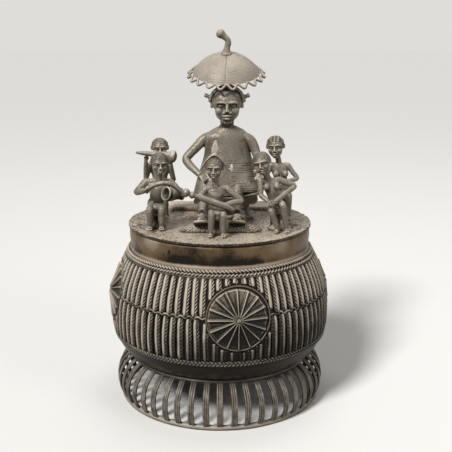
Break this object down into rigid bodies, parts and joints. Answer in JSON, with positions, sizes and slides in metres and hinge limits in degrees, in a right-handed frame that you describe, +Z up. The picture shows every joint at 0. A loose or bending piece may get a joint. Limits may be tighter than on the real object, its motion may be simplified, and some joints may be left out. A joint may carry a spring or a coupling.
{
  "type": "lidded cast brass casket",
  "caption": "Round lidded cast brass casket with a corded bowl on an openwork foot; its lift-off lid carries a seated chief under a parasol with court attendants.",
  "frame": {"origin": "on the ground at the vessel's axis, in the plane of the base ring's flat underside", "axes": "+Z up along the vessel's axis, -Y towards the front that the chief faces, +X to the viewer's right"},
  "size_m": [0.1848, 0.1848, 0.3039],
  "materials": {
    "wall_brass": "worn warm brass with dark patina",
    "cord_brass": "dusty raised brass with dark recesses",
    "foot_brass": "dark bronze patina with rubbed edges",
    "lid_brass": "dusty granular cast brass",
    "figure_brass": "grey-brown patinated cast brass",
    "parasol_brass": "pale dusty cast brass",
    "furniture_brass": "dark patinated cast brass"
  },
  "bodies": {
    "vessel": {"bowl": "wall_brass", "foot_base_ring": "foot_brass", "foot_bars": "foot_brass", "foot_top_ring": "foot_brass", "lower_rope_outer": "cord_brass", "lower_rope_inner": "cord_brass", "lower_cords": "cord_brass", "mid_thread": "cord_brass", "upper_cords": "cord_brass", "neck_rope_lower": "cord_brass", "neck_rope_upper": "cord_brass", "rosette_front": "cord_brass", "rosette_right": "cord_brass", "rosette_back": "cord_brass", "rosette_left": "cord_brass"},
    "lid": {"lid_plate": "lid_brass", "lid_flange": "lid_brass", "rear_slab": "lid_brass", "foot_rest": "furniture_brass", "chief_stool": "furniture_brass", "chief": "figure_brass", "chief_headband": "furniture_brass", "sandal_soles": "furniture_brass", "sandal_straps": "furniture_brass", "parasol_pole": "parasol_brass", "parasol_canopy": "parasol_brass", "parasol_fringe": "parasol_brass", "parasol_finial": "parasol_brass", "sword_bearer": "figure_brass", "sword_bearer_hat": "figure_brass", "state_sword": "figure_brass", "sword_bearer_stool": "furniture_brass", "drummer": "figure_brass", "drum": "figure_brass", "drum_beater": "figure_brass", "drummer_stool": "furniture_brass", "horn_blower": "figure_brass", "horn": "figure_brass", "horn_blower_stool": "furniture_brass", "front_attendant": "figure_brass", "front_attendant_stool": "furniture_brass", "rear_attendant": "figure_brass", "rear_attendant_stool": "furniture_brass"}
  },
  "joints": [
    {"name": "lid_lift", "type": "slide", "parent": "vessel", "child": "lid", "axis": [0, 0, 1], "range_m": [0, 0.06]}
  ]
}
